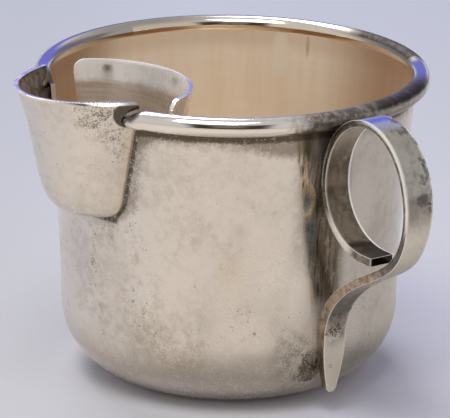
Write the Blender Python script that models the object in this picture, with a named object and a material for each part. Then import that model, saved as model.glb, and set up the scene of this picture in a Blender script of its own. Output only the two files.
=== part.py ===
"""Spouted child's cup in sheet silver: five pieces that a silversmith solders together.

The bowl is one raised sheet with a slot cut through its wall. A round wire sits on the edge of
the wall as its rim, and stops short of the slot on both sides. A pouch of sheet covers the slot
from outside and is the spout, a half-bowl guard stands in front of the slot inside, and one strip
bent into a loop is the handle.

Frame: origin at the centre of the flat base, +Z up, handle towards +X, spout towards -Y.
Sizes are in millimetres, and MM turns them into metres.
"""
import math

import bpy
from mathutils import Vector

MM = 0.001

# Clearance between soldered pieces, and how far the guard's sheet runs past its seat before it is trimmed
SEAT = 0.3
TRIM = 0.3

# Bowl: one sheet with a wall that flares towards the rim and a round bottom corner
CUP_HEIGHT = 60.4
RIM_RADIUS = 35.4
HEEL_RADIUS = 32.6
CORNER_RADIUS = 13.7
WALL_FLARE = 1.5
BOWL_SHEET = 0.9

# Slot through the wall, behind the spout
SLOT_WIDTH = 24.0
SLOT_DEPTH = 18.0

# Rim wire, soldered on the edge of the wall and set out from it
RIM_WIRE = 3.7
WIRE_OVERHANG = 0.95
WIRE_SETBACK = 1.2
WIRE_TIP = 3.2

# Spout: pouch of sheet, with its lip above the rim
SPOUT_SHEET = 0.9
LIP_RISE = 1.3
SPOUT_DEPTH = 24.6
SPOUT_REACH = 8.25
LIP_FLARE = 2.65
LIP_FLARE_SHAPE = 5.0
LIP_CORNER = 1.1
SPOUT_TOP_WIDTH = 32.8
SPOUT_FOOT_WIDTH = 20.4
SPOUT_CORNER = 4.0
SPOUT_FULLNESS = 3.6
SPOUT_BITE = 1.3
NOTCH_GAP = 1.0
NOTCH_REACH = 1.5

# Guard: half-bowl of sheet that leans out from the slot
GUARD_SHEET = 0.8
GUARD_RISE = 0.7
GUARD_WIDTH = 33.6
GUARD_DEPTH = 15.0
GUARD_APEX = 13.8
GUARD_SPAN = 77.0
GUARD_FOOT_WIDTH = 18.0
GUARD_FOOT_DROP = 2.5
GUARD_CORNER = 2.4
GUARD_LEAN = 15.0
GUARD_TAPER = 12.0

# Handle: one strip, from the tail on the wall, out along the strut and round the loop
STRIP_WIDTH = 6.1
END_WIDTH = 4.5
STRIP_THICK = 1.25
STRIP_CHAMFER = 0.3
TAIL_WIDTH = 2.4
TAIL_BOTTOM = 4.4
TAIL_LENGTH = 12.6
TAIL_TAPER = 13.0
LOOP_WIDTH = 24.8
LOOP_RISE = 0.9
LOOP_ABOVE = 14.6
LOOP_BELOW = 12.3
LOOP_SAG = 15.4
LOOP_SKEW = 0.8
END_RUN = 1.5
STRUT_ANGLE = 46.0
STRUT_START = 10.2
STRUT_FINISH = 11.0

# Facets
TURN_STEPS = 72
WIRE_SIDES = 12
ARC_STEPS = 8

SILVER = (0.78, 0.74, 0.68, 1.0)
GUARD_SILVER = (0.82, 0.79, 0.74, 1.0)
WORN_SILVER = (0.70, 0.66, 0.60, 1.0)


def clear_scene():
    for item in list(bpy.data.objects):
        bpy.data.objects.remove(item, do_unlink=True)


def metal(name, colour, roughness):
    """Principled metal in one colour."""
    material = bpy.data.materials.new(name)
    material.use_nodes = True
    shader = material.node_tree.nodes["Principled BSDF"]
    shader.inputs["Base Color"].default_value = colour
    shader.inputs["Metallic"].default_value = 1.0
    shader.inputs["Roughness"].default_value = roughness
    return material


def add_object(name, mesh, material=None):
    """Object in the scene, shaded smooth with sharp creases."""
    mesh.shade_smooth()
    mesh.set_sharp_from_angle(angle=math.radians(40))
    item = bpy.data.objects.new(name, mesh)
    bpy.context.collection.objects.link(item)
    if material:
        mesh.materials.append(material)
    return item


def add_cutter(name, mesh):
    """Object that only cuts others."""
    item = add_object(name, mesh)
    item.hide_render = True
    item.display_type = "WIRE"
    return item


def mesh_from(name, points, faces):
    """Mesh from points in millimetres."""
    mesh = bpy.data.meshes.new(name)
    mesh.from_pydata([Vector(point) * MM for point in points], [], faces)
    return mesh


def grid_mesh(name, rows):
    """Sheet through rows of points, facing the side from which rows run up and columns right."""
    width = len(rows[0])
    points = [point for row in rows for point in row]
    faces = []
    for i in range(len(rows) - 1):
        for j in range(width - 1):
            corner = i * width + j
            faces.append((corner, corner + 1, corner + width + 1, corner + width))
    return mesh_from(name, points, faces)


def pouch_mesh(name, outside, inside):
    """Closed sheet between two grids of rows, joined along their edges."""
    width = len(outside[0])
    count = len(outside) * width
    points = [point for row in outside + inside for point in row]
    faces = []
    for i in range(len(outside) - 1):
        for j in range(width - 1):
            corner = i * width + j
            quad = (corner, corner + 1, corner + width + 1, corner + width)
            faces.append(quad)
            faces.append(tuple(count + k for k in reversed(quad)))
    edge = list(range(width))
    edge += range(2 * width - 1, count, width)
    edge += range(count - 2, count - width - 1, -1)
    edge += range(count - 2 * width, 0, -width)
    for here, ahead in zip(edge, edge[1:] + edge[:1]):
        faces.append((ahead, here, here + count, ahead + count))
    return mesh_from(name, points, faces)


def tube_mesh(name, rings, closed_ends):
    """Skin round rings of points, closed by the pole points or by flat ends."""
    sides = len(rings[0])
    points = [point for ring in rings for point in ring]
    last = (len(rings) - 1) * sides
    faces = []
    for i in range(len(rings) - 1):
        for j in range(sides):
            here = i * sides + j
            beside = i * sides + (j + 1) % sides
            faces.append((here, beside, beside + sides, here + sides))
    if closed_ends:
        start = len(points)
        points.extend(closed_ends)
        for j in range(sides):
            beside = (j + 1) % sides
            faces.append((start, beside, j))
            faces.append((start + 1, last + j, last + beside))
    else:
        faces.append(tuple(reversed(range(sides))))
        faces.append(tuple(range(last, last + sides)))
    return mesh_from(name, points, faces)


def turned_mesh(name, outline, closed):
    """Edges of a half section in the XZ plane, ready for turn()."""
    points = [(x, 0.0, z) for x, z in outline]
    edges = [(i, i + 1) for i in range(len(points) - 1)]
    if closed:
        edges.append((len(points) - 1, 0))
    mesh = bpy.data.meshes.new(name)
    mesh.from_pydata([Vector(point) * MM for point in points], edges, [])
    return mesh


def turn(item):
    """Revolve an outline about the cup's axis."""
    screw = item.modifiers.new("turn", "SCREW")
    screw.axis = "Z"
    screw.steps = TURN_STEPS
    screw.render_steps = TURN_STEPS
    screw.use_merge_vertices = True
    screw.merge_threshold = 0.00001
    screw.use_smooth_shade = True


def thicken(item, thickness):
    """Give a sheet its thickness behind the face that was drawn."""
    solid = item.modifiers.new("sheet", "SOLIDIFY")
    solid.thickness = thickness * MM
    solid.offset = -1.0
    solid.use_even_offset = True
    solid.use_quality_normals = True


def cut(item, cutter):
    boolean = item.modifiers.new("cut_" + cutter.name, "BOOLEAN")
    boolean.operation = "DIFFERENCE"
    boolean.solver = "EXACT"
    boolean.object = cutter


def arc(centre, radius, start, end, steps):
    """Points of an arc, in degrees."""
    points = []
    for i in range(steps + 1):
        angle = math.radians(start + (end - start) * i / steps)
        points.append((centre[0] + radius * math.cos(angle), centre[1] + radius * math.sin(angle)))
    return points


def bezier(start, pull_start, pull_end, end, steps):
    """Points of a cubic curve, without its first point."""
    points = []
    for i in range(1, steps + 1):
        t = i / steps
        s = 1.0 - t
        weights = (s ** 3, 3 * s * s * t, 3 * s * t * t, t ** 3)
        corners = (start, pull_start, pull_end, end)
        points.append(sum((c * w for w, c in zip(weights, corners)), Vector()))
    return points


def wall_radius(z):
    """Outside of the bowl's wall, which flares from the heel to the rim."""
    climb = max(0.0, (z - CORNER_RADIUS) / (CUP_HEIGHT - RIM_WIRE / 2 - CORNER_RADIUS))
    return HEEL_RADIUS + (RIM_RADIUS - HEEL_RADIUS) * climb ** WALL_FLARE


def wire_line():
    """Radius and height of the middle of the rim wire, set out from the wall under it."""
    return wall_radius(CUP_HEIGHT - RIM_WIRE - SEAT) + WIRE_OVERHANG, CUP_HEIGHT - RIM_WIRE / 2


def spout_point(radius, angle, z):
    """Point at an angle from the spout's middle plane, positive towards the handle."""
    return (radius * math.sin(angle), -radius * math.cos(angle), z)


def bowl_outline():
    """Half section of the bowl: up the inside, under the rim wire, down the outside to the base."""
    corner = (HEEL_RADIUS - CORNER_RADIUS, CORNER_RADIUS)
    height = wire_line()[1]
    seat = RIM_WIRE / 2 + SEAT
    top = height - math.sqrt(seat ** 2 - (WIRE_OVERHANG + BOWL_SHEET) ** 2)
    low = height - math.sqrt(seat ** 2 - WIRE_OVERHANG ** 2)
    levels = [i / ARC_STEPS for i in range(1, ARC_STEPS + 1)]
    points = [(0.0, BOWL_SHEET)]
    points += arc(corner, CORNER_RADIUS - BOWL_SHEET, -90, 0, ARC_STEPS)
    for level in levels:
        z = CORNER_RADIUS + (top - CORNER_RADIUS) * level
        points.append((wall_radius(z) - BOWL_SHEET, z))
    for level in reversed(levels):
        z = CORNER_RADIUS + (low - CORNER_RADIUS) * level
        points.append((wall_radius(z), z))
    points += arc(corner, CORNER_RADIUS, 0, -90, ARC_STEPS)
    points.append((0.0, 0.0))
    return points


def slot_cutter():
    """Prism with a round bottom that cuts the pouring slot through the spout side of the wall."""
    half = SLOT_WIDTH / 2
    over = CUP_HEIGHT + half
    bottom = CUP_HEIGHT - SLOT_DEPTH
    outline = [(half, over), (-half, over)] + arc((0.0, bottom + half), half, 180, 360, 2 * ARC_STEPS)
    inner = -HEEL_RADIUS / 2
    outer = -RIM_RADIUS - half
    count = len(outline)
    points = [(x, inner, z) for x, z in outline] + [(x, outer, z) for x, z in outline]
    faces = [tuple(reversed(range(count))), tuple(range(count, 2 * count))]
    for i in range(count):
        j = (i + 1) % count
        faces.append((i, j, j + count, i + count))
    return add_cutter("slot_cutter", mesh_from("slot_cutter", points, faces))


def wall_envelope():
    """Ring that holds the wall and its clearance, to trim the guard that seats on it."""
    high = CUP_HEIGHT - RIM_WIRE / 2
    levels = [CORNER_RADIUS + (high - CORNER_RADIUS) * i / ARC_STEPS for i in range(ARC_STEPS + 1)]
    outside = [(wall_radius(z) + SEAT, z) for z in reversed(levels)]
    inside = [(wall_radius(z) - BOWL_SHEET - SEAT, z) for z in levels]
    outline = outside + inside
    item = add_cutter("wall_envelope", turned_mesh("wall_envelope", outline, True))
    turn(item)
    return item


def wire_mesh(name, tube, tip):
    """Rim wire with tapered ends beside the slot, in any thickness and length of tip round the same line."""
    ring, z = wire_line()
    gap = math.asin((SLOT_WIDTH / 2 + WIRE_SETBACK) / ring) + WIRE_TIP / ring
    sweep = 2 * (math.pi - gap)
    stations = []
    for i in range(ARC_STEPS // 2, 0, -1):
        lean = math.radians(90) * i / (ARC_STEPS // 2 + 1)
        stations.append((gap - tip * math.sin(lean) / ring, tube * math.cos(lean)))
    for i in range(TURN_STEPS + 1):
        stations.append((gap + sweep * i / TURN_STEPS, tube))
    for i in range(1, ARC_STEPS // 2 + 1):
        lean = math.radians(90) * i / (ARC_STEPS // 2 + 1)
        stations.append((gap + sweep + tip * math.sin(lean) / ring, tube * math.cos(lean)))
    rings = []
    for angle, radius in stations:
        section = arc((ring, z), radius, 360, 0, WIRE_SIDES)[:-1]
        rings.append([spout_point(r, angle, height) for r, height in section])
    ends = [spout_point(ring, gap - tip / ring, z), spout_point(ring, gap + sweep + tip / ring, z)]
    return tube_mesh(name, rings, ends)


def spout_rows(inset):
    """Rows up one side of the pouch, which ends on the wall: its outside, or its inside at an inset."""
    lip = CUP_HEIGHT + LIP_RISE
    depth = SPOUT_DEPTH - inset
    rows_up = 3 * ARC_STEPS
    columns = 3 * ARC_STEPS
    rows = []
    for i in range(rows_up + 1):
        climb = (i / rows_up) ** 2
        fullness = (1.0 - (1.0 - climb) ** SPOUT_FULLNESS) ** (1 / SPOUT_FULLNESS)
        reach = (SPOUT_REACH - inset) * fullness + LIP_FLARE * climb ** LIP_FLARE_SHAPE
        height = depth * climb
        z = lip - depth + height
        half = (SPOUT_FOOT_WIDTH + (SPOUT_TOP_WIDTH - SPOUT_FOOT_WIDTH) * climb) / 2
        below = max(0.0, SPOUT_CORNER - height)
        half -= SPOUT_CORNER - math.sqrt(SPOUT_CORNER ** 2 - below ** 2)
        above = max(0.0, LIP_CORNER - (depth - height))
        half -= LIP_CORNER - math.sqrt(LIP_CORNER ** 2 - above ** 2)
        half -= SPOUT_BITE * inset
        base = wall_radius(z) + SEAT
        spread = math.asin(half / base)
        row = []
        for j in range(columns + 1):
            across = 2.0 * j / columns - 1.0
            swell = reach * math.cos(math.pi / 2 * across)
            row.append(spout_point(base + swell, across * spread, z))
        rows.append(row)
    return rows


def guard_mesh():
    """Side of the guard that faces the spout: an arch in plan that curls under to its foot."""
    top = CUP_HEIGHT + GUARD_RISE
    foot = CUP_HEIGHT - SLOT_DEPTH - GUARD_FOOT_DROP
    seat = wall_radius(foot) - BOWL_SHEET + TRIM
    lean = math.radians(GUARD_LEAN)
    span = math.radians(GUARD_SPAN)
    rows_up = ARC_STEPS + ARC_STEPS // 2
    columns = 3 * ARC_STEPS
    arch_centre = GUARD_APEX + GUARD_DEPTH
    arch_length = span * (GUARD_WIDTH / 2 + GUARD_DEPTH) / 2
    rows = []
    for i in range(rows_up + 1):
        sweep = 1.0 - i / rows_up
        angle = lean + (math.pi / 2 - lean) * sweep
        hold = math.cos(angle) / math.cos(lean)
        sink = (math.sin(angle) - math.sin(lean)) / (1.0 - math.sin(lean))
        row = []
        for j in range(columns + 1):
            across = math.sin(math.pi / 2 * (2.0 * j / columns - 1.0))
            side = across * (span - math.radians(GUARD_TAPER) * sink)
            arch_x = GUARD_WIDTH / 2 * math.sin(side)
            arch_d = arch_centre - GUARD_DEPTH * math.cos(side)
            foot_x = GUARD_FOOT_WIDTH / 2 * across
            foot_d = math.sqrt(seat ** 2 - foot_x ** 2)
            from_end = arch_length * (1.0 - abs(across))
            short = max(0.0, GUARD_CORNER - from_end)
            crown = top - GUARD_CORNER + math.sqrt(GUARD_CORNER ** 2 - short ** 2)
            x = foot_x + (arch_x - foot_x) * hold
            d = foot_d + (arch_d - foot_d) * hold
            row.append((x, -d, crown - (crown - foot) * sink))
        rows.append(row)
    return grid_mesh("splash_guard", rows)


def handle_line():
    """Middle line of the strip, from the tip of the tail to the free end. The loop leans to the spout side."""
    half = STRIP_THICK / 2
    tail_top = TAIL_BOTTOM + TAIL_LENGTH
    wide = LOOP_WIDTH / 2 - half
    above = LOOP_ABOVE - half
    below = LOOP_BELOW - half
    sag = LOOP_SAG - half
    middle = CUP_HEIGHT + LOOP_RISE - LOOP_ABOVE
    centre = wall_radius(middle) + SEAT + LOOP_WIDTH / 2

    def on_loop(angle, tall):
        turn_x = math.cos(angle)
        return Vector((centre + wide * turn_x, LOOP_SKEW * (turn_x - 1.0) / 2, middle + tall * math.sin(angle)))

    points = []
    for i in range(ARC_STEPS + 1):
        z = TAIL_BOTTOM + TAIL_LENGTH * i / ARC_STEPS
        points.append(Vector((wall_radius(z) + SEAT + half, 0.0, z)))
    start = points[-1]
    slope = math.radians(-STRUT_ANGLE)
    join = on_loop(slope, sag)
    heading = Vector((-wide * math.sin(slope), 0.0, sag * math.cos(slope))).normalized()
    rise = wall_radius(tail_top + STRUT_START) - wall_radius(tail_top)
    pull_start = start + Vector((rise, 0.0, STRUT_START))
    points += bezier(start, pull_start, join - heading * STRUT_FINISH, join, 2 * ARC_STEPS)
    for i in range(1, 3 * ARC_STEPS + 1):
        angle = slope + (math.pi - slope) * i / (3 * ARC_STEPS)
        points.append(on_loop(angle, above if angle > 0.0 else sag))
    for i in range(1, ARC_STEPS + 1):
        points.append(on_loop(math.pi * (1.0 + i / (2 * ARC_STEPS)), below))
    points.append(points[-1] + Vector((END_RUN, 0.0, 0.0)))
    return points


def strip_width(along, length):
    """Width of the strip at a distance from the round tip of its tail: widest under the loop."""
    tip = TAIL_WIDTH / 2
    if along < tip:
        return 2 * math.sqrt(tip ** 2 - (tip - max(along, tip / 10)) ** 2)
    share = min(1.0, (along - tip) / TAIL_TAPER)
    width = TAIL_WIDTH + (STRIP_WIDTH - TAIL_WIDTH) * math.sin(math.pi / 2 * share)
    round_loop = max(0.0, 2 * along / length - 1.0)
    return width + (END_WIDTH - STRIP_WIDTH) * round_loop


def handle_mesh():
    """Flat section with small chamfers, swept along the handle's line."""
    line = handle_line()
    tip = TAIL_WIDTH / 2
    first = line[0]
    ahead = (line[1] - first).normalized()
    nose = [first + ahead * tip * step / ARC_STEPS for step in range(ARC_STEPS)]
    line = nose + [point for point in line if (point - first).dot(ahead) >= tip]
    length = sum((after - before).length for before, after in zip(line, line[1:]))
    rings = []
    along = 0.0
    for i, here in enumerate(line):
        before = line[max(i - 1, 0)]
        after = line[min(i + 1, len(line) - 1)]
        outward = Vector((before.z - after.z, 0.0, after.x - before.x)).normalized()
        if i:
            along += (here - before).length
        half_width = strip_width(along, length) / 2
        half_thick = STRIP_THICK / 2
        chamfer = min(STRIP_CHAMFER, half_width / 2)
        section = [
            (half_width, half_thick - chamfer),
            (half_width - chamfer, half_thick),
            (chamfer - half_width, half_thick),
            (-half_width, half_thick - chamfer),
            (-half_width, chamfer - half_thick),
            (chamfer - half_width, -half_thick),
            (half_width - chamfer, -half_thick),
            (half_width, chamfer - half_thick),
        ]
        ring = []
        for y, out in section:
            ring.append(here + outward * out + Vector((0.0, y, 0.0)))
        rings.append(ring)
    return tube_mesh("handle_strip", rings, None)


def main():
    clear_scene()
    envelope = wall_envelope()
    notch_mesh = wire_mesh("notch_cutter", RIM_WIRE / 2 + NOTCH_GAP, WIRE_TIP + NOTCH_REACH)
    notch = add_cutter("notch_cutter", notch_mesh)

    bowl = add_object("cup_bowl", turned_mesh("cup_bowl", bowl_outline(), False), metal("bowl", SILVER, 0.28))
    turn(bowl)
    cut(bowl, slot_cutter())

    add_object("rim_wire", wire_mesh("rim_wire", RIM_WIRE / 2, WIRE_TIP), metal("wire", GUARD_SILVER, 0.18))

    pouch = pouch_mesh("spout_shell", spout_rows(0.0), spout_rows(SPOUT_SHEET))
    spout = add_object("spout_shell", pouch, metal("spout", SILVER, 0.3))
    cut(spout, notch)

    guard = add_object("splash_guard", guard_mesh(), metal("guard", GUARD_SILVER, 0.15))
    thicken(guard, GUARD_SHEET)
    cut(guard, envelope)

    add_object("handle_strip", handle_mesh(), metal("handle", WORN_SILVER, 0.25))


main()
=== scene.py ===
# %% [markdown]
# # A child's cup in worn silver
# The real cup is five pieces of silver that were soldered together: a raised bowl, a round wire on
# its rim, a pouch of sheet that is the spout, a guard inside, and a strip that is the handle. The CAD
# model has their exact places in flat facets. Polished metal shows every facet as a broken
# reflection, so this lesson models each piece again in fine, smooth meshes of the same size, gives
# each its worn finish, and lights them as in a small photo studio.

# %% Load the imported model
import math

import bpy
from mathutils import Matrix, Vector


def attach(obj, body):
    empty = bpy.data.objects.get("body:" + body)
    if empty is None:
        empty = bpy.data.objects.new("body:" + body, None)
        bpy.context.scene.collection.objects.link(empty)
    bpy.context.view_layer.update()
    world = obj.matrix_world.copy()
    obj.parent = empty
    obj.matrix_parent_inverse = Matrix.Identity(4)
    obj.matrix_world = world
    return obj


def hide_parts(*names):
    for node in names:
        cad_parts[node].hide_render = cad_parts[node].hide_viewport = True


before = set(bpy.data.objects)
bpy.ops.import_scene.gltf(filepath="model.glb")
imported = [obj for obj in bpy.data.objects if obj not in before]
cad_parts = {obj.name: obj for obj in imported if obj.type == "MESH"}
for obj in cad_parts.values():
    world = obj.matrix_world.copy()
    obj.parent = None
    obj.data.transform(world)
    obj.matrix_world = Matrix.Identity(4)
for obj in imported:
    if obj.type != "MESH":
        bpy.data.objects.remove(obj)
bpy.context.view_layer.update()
MM = 0.001
print("CAD nodes:", ", ".join(sorted(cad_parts)))

# %% [markdown]
# ## The camera
# A product photo of something this small is taken with a long lens from about 0.7 m away. The place
# and turn below put the rim, base and handle where they are in the photo. A long lens keeps the
# sides of the cup nearly parallel, which a wide one close by would not. Two ways over the floor are
# used again later: towards the camera, and to the right as it sees the cup.

# %% Camera
FRONT = Vector((0.812, -0.5836, 0.0))
RIGHT = Vector((0.5836, 0.812, 0.0))
bpy.ops.object.select_all(action="DESELECT")
bpy.ops.object.camera_add(location=(0.53395, -0.37387, 0.24425))
camera = bpy.context.object
camera.rotation_euler = (math.radians(71.8983), math.radians(-0.7241), math.radians(55.3197))
camera.data.lens = 283.3
camera.data.sensor_width = 36.0
camera.data.clip_start = 0.01
camera.data.dof.use_dof = False
bpy.context.scene.camera = camera
print("camera", round(camera.location.length, 3), "m from the middle of the base")

# %% [markdown]
# ## Helpers for modelling by operators
# Operators act on whatever is selected, and the imported nodes start out selected. So each step
# selects one piece only. A modifier is set up, applied, and gone.

# %% Select, apply and smooth
def only(piece):
    """Select one piece and make it active."""
    bpy.ops.object.select_all(action="DESELECT")
    piece.select_set(True)
    bpy.context.view_layer.objects.active = piece


def named(name):
    """Name the piece that an operator has just added, and put its place into its mesh."""
    piece = bpy.context.object
    piece.name = name
    piece.data.name = name
    bpy.ops.object.transform_apply(location=True, rotation=True, scale=True)
    return piece


def apply(piece, kind, **settings):
    """Add one modifier, set it up and apply it."""
    only(piece)
    modifier = piece.modifiers.new(kind.lower(), kind)
    for key, value in settings.items():
        setattr(modifier, key, value)
    bpy.ops.object.modifier_apply(modifier=modifier.name)


def round_edges(piece, width, **settings):
    """Round every sharp edge of a piece by a width in millimetres."""
    settings.update(width=width * MM, segments=3, limit_method="ANGLE", angle_limit=math.radians(50))
    apply(piece, "BEVEL", **settings)


def open_slots(piece, count):
    """Give a piece empty material slots, which modifiers can then point their faces to."""
    for _ in range(count):
        piece.data.materials.append(None)


def smooth(piece, degrees=35.0):
    """Smooth shading that keeps the edges sharper than an angle."""
    only(piece)
    bpy.ops.object.shade_smooth_by_angle(angle=math.radians(degrees))


def dress(piece, node, slot, *finishes):
    """Let a finished piece stand for its CAD node, with its finishes."""
    if len(finishes) != len(piece.data.materials):
        piece.data.materials.clear()
        for finish in finishes:
            piece.data.materials.append(finish)
    for k, finish in enumerate(finishes):
        piece.data.materials[k] = finish
    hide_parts(node)
    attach(piece, "root")
    print(piece.name, "has", len(piece.data.polygons), "faces")


# %% [markdown]
# ## The bowl
# The bowl was raised from one disc: a flat base, a round corner, and a wall that flares a little
# towards the rim. Lathe work can be made with Spin, but here the way a smith thinks is closer:
# start from the ring at the top and extrude it down in small steps, each scaled to its radius.
# Solidify then gives the sheet its thickness, and puts the inside on a second material, the gilding.

# %% Bowl
HEEL_RADIUS = 32.6
RIM_RADIUS = 35.4
CORNER_RADIUS = 13.7
WALL_FLARE = 1.5
BOWL_SHEET = 0.9
WIRE_HEIGHT = 58.55
WALL_TOP = 58.4
WALL_STEPS = 48
CORNER_STEPS = 32
BASE_RINGS = (14.0, 8.0, 2.0)


def wall_radius(z):
    """Outside of the wall at a height, in millimetres."""
    climb = max(0.0, (z - CORNER_RADIUS) / (WIRE_HEIGHT - CORNER_RADIUS))
    return HEEL_RADIUS + (RIM_RADIUS - HEEL_RADIUS) * climb ** WALL_FLARE


outline = []
for step in range(WALL_STEPS + 1):
    z = WALL_TOP - (WALL_TOP - CORNER_RADIUS) * step / WALL_STEPS
    outline.append((wall_radius(z), z))
for step in range(1, CORNER_STEPS + 1):
    turn = math.radians(90.0 * step / CORNER_STEPS)
    reach = HEEL_RADIUS - CORNER_RADIUS + CORNER_RADIUS * math.cos(turn)
    outline.append((reach, CORNER_RADIUS - CORNER_RADIUS * math.sin(turn)))
outline += [(radius, 0.0) for radius in BASE_RINGS]

top_radius, top_z = outline[0]
bpy.ops.object.select_all(action="DESELECT")
bpy.ops.mesh.primitive_circle_add(vertices=288, radius=top_radius * MM, location=(0, 0, top_z * MM))
bowl = named("bowl")
bpy.ops.object.mode_set(mode="EDIT")
bpy.ops.mesh.select_all(action="SELECT")
for (radius, z), (next_radius, next_z) in zip(outline, outline[1:]):
    bpy.ops.mesh.extrude_edges_move(TRANSFORM_OT_translate={"value": (0, 0, (next_z - z) * MM)})
    bpy.ops.transform.resize(value=(next_radius / radius, next_radius / radius, 1.0))
bpy.ops.mesh.merge(type="CENTER")
bpy.ops.mesh.select_all(action="SELECT")
bpy.ops.mesh.normals_make_consistent(inside=False)
bpy.ops.object.mode_set(mode="OBJECT")
lowest = min(bowl.data.polygons, key=lambda face: face.center.z)
if lowest.normal.z > 0:
    bpy.ops.object.mode_set(mode="EDIT")
    bpy.ops.mesh.flip_normals()
    bpy.ops.object.mode_set(mode="OBJECT")
open_slots(bowl, 2)
apply(bowl, "SOLIDIFY", thickness=BOWL_SHEET * MM, offset=-1.0, use_even_offset=True, material_offset=1)
print("bowl sheet", len(bowl.data.vertices), "points")

# %% [markdown]
# ## The slot behind the spout
# The drink reaches the spout through a slot in the wall with a round bottom. A cylinder laid across
# the wall is the round bottom, and its upper half is moved up to make the straight sides. A Boolean
# cuts it out, and the cutter is deleted.

# %% Slot
SLOT_HALF = 12.0
SLOT_BOTTOM = 42.4
CUTTER_LONG = 30.0
CUTTER_AWAY = 33.0
CUTTER_RISE = 12.0
bpy.ops.object.select_all(action="DESELECT")
bpy.ops.mesh.primitive_cylinder_add(
    vertices=96,
    radius=SLOT_HALF * MM,
    depth=CUTTER_LONG * MM,
    location=(0, -CUTTER_AWAY * MM, (SLOT_BOTTOM + SLOT_HALF) * MM),
    rotation=(math.radians(90), 0, 0),
)
cutter = named("slot_cutter")
bpy.ops.object.mode_set(mode="EDIT")
bpy.ops.mesh.select_all(action="DESELECT")
bpy.ops.object.mode_set(mode="OBJECT")
for point in cutter.data.vertices:
    point.select = point.co.z > (SLOT_BOTTOM + SLOT_HALF + 0.1) * MM
bpy.ops.object.mode_set(mode="EDIT")
bpy.ops.transform.translate(value=(0, 0, CUTTER_RISE * MM))
bpy.ops.object.mode_set(mode="OBJECT")


def carve(piece, tool):
    """Cut one piece with another, and delete the tool."""
    apply(piece, "BOOLEAN", object=tool, operation="DIFFERENCE", solver="EXACT")
    bpy.data.objects.remove(tool, do_unlink=True)


carve(bowl, cutter)
smooth(bowl)
print("bowl with its slot", len(bowl.data.polygons), "faces")

# %% [markdown]
# ## The rim wire
# The rim is a round wire that stops on both sides of the spout, each end filed from above to a tip. A
# torus is the right primitive: the faces in the gap are deleted, and each open end is extruded in
# small steps that move along the wire and shrink, then merged to a point.

# %% Rim wire
WIRE_RING = 36.15
WIRE_HALF = 1.85
WIRE_STOP = 29.6
WIRE_TIP = 4.8
WIRE_DROP = 0.9
TIP_STEPS = 9
TIP_POWER = 1.4


def rim_tube(name, half, tip, drop, rings, sides):
    """A wire along the rim in any thickness, with tips of any length and drop beside the slot."""
    bpy.ops.object.select_all(action="DESELECT")
    bpy.ops.mesh.primitive_torus_add(
        major_segments=rings,
        minor_segments=sides,
        major_radius=WIRE_RING * MM,
        minor_radius=half * MM,
        location=(0, 0, WIRE_HEIGHT * MM),
    )
    piece = named(name)
    bpy.ops.object.mode_set(mode="EDIT")
    bpy.ops.mesh.select_all(action="DESELECT")
    bpy.ops.mesh.select_mode(type="FACE")
    bpy.ops.object.mode_set(mode="OBJECT")
    for face in piece.data.polygons:
        away = math.degrees(math.atan2(face.center.x, -face.center.y))
        face.select = abs(away) < WIRE_STOP
    bpy.ops.object.mode_set(mode="EDIT")
    bpy.ops.mesh.delete(type="FACE")
    bpy.ops.mesh.select_mode(type="EDGE")
    for side in (-1, 1):
        bpy.ops.mesh.select_all(action="DESELECT")
        bpy.ops.mesh.select_non_manifold(extend=False)
        bpy.ops.object.mode_set(mode="OBJECT")
        for edge in piece.data.edges:
            middle = sum(piece.data.vertices[k].co.x for k in edge.vertices)
            edge.select = edge.select and middle * side > 0
        for point in piece.data.vertices:
            point.select = point.select and point.co.x * side > 0
        ends = [point.co.copy() for point in piece.data.vertices if point.select]
        middle = sum(ends, Vector()) / len(ends)
        along = Vector((-middle.y, middle.x, 0.0)).normalized() * (-side)
        bpy.ops.object.mode_set(mode="EDIT")
        size = 1.0
        gone = 0.0
        for step in range(1, TIP_STEPS):
            lean = math.radians(90.0 * step / TIP_STEPS)
            shift = (along * tip - Vector((0, 0, drop))) * (math.sin(lean) - gone) * MM
            gone = math.sin(lean)
            middle = middle + shift
            bpy.ops.mesh.extrude_edges_move(TRANSFORM_OT_translate={"value": shift})
            share = math.cos(lean) ** TIP_POWER / size
            size = math.cos(lean) ** TIP_POWER
            bpy.ops.transform.resize(value=(share, share, share), center_override=middle)
        bpy.ops.mesh.merge(type="CENTER")
    bpy.ops.mesh.select_all(action="SELECT")
    bpy.ops.mesh.normals_make_consistent(inside=False)
    bpy.ops.object.mode_set(mode="OBJECT")
    return piece


wire = rim_tube("rim_bead", WIRE_HALF, WIRE_TIP, WIRE_DROP, rings=480, sides=36)
smooth(wire, 60.0)
print("rim wire", len(wire.data.polygons), "faces")

# %% [markdown]
# ## The spout
# The spout is a pouch: one sheet, full and flared at the lip, drawn in to the wall at both sides and
# at the foot. A grid is laid out flat and every point is moved to its place on the pouch, once for
# the outside and once, a sheet's thickness further in, for the inside. Bridging their edges closes
# the sheet, a Bevel softens its edges, and a thicker copy of the wire cuts the notch on each side.

# %% Spout
LIP_TOP = 61.7
SPOUT_DEPTH = 24.6
SPOUT_REACH = 8.25
SPOUT_FULLNESS = 3.6
LIP_FLARE = 2.65
LIP_CORNER = 1.1
SPOUT_WIDTHS = (20.4, 32.8)
SPOUT_CORNER = 4.0
SPOUT_SHEET = 0.9
SPOUT_PROUD = 0.18
SPOUT_FOOT = LIP_TOP - SPOUT_DEPTH
SIDE_INSET = 1.3
NOTCH_GAP = 0.45
NOTCH_TIP = 0.9
NOTCH_DROP = 0.4


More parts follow.
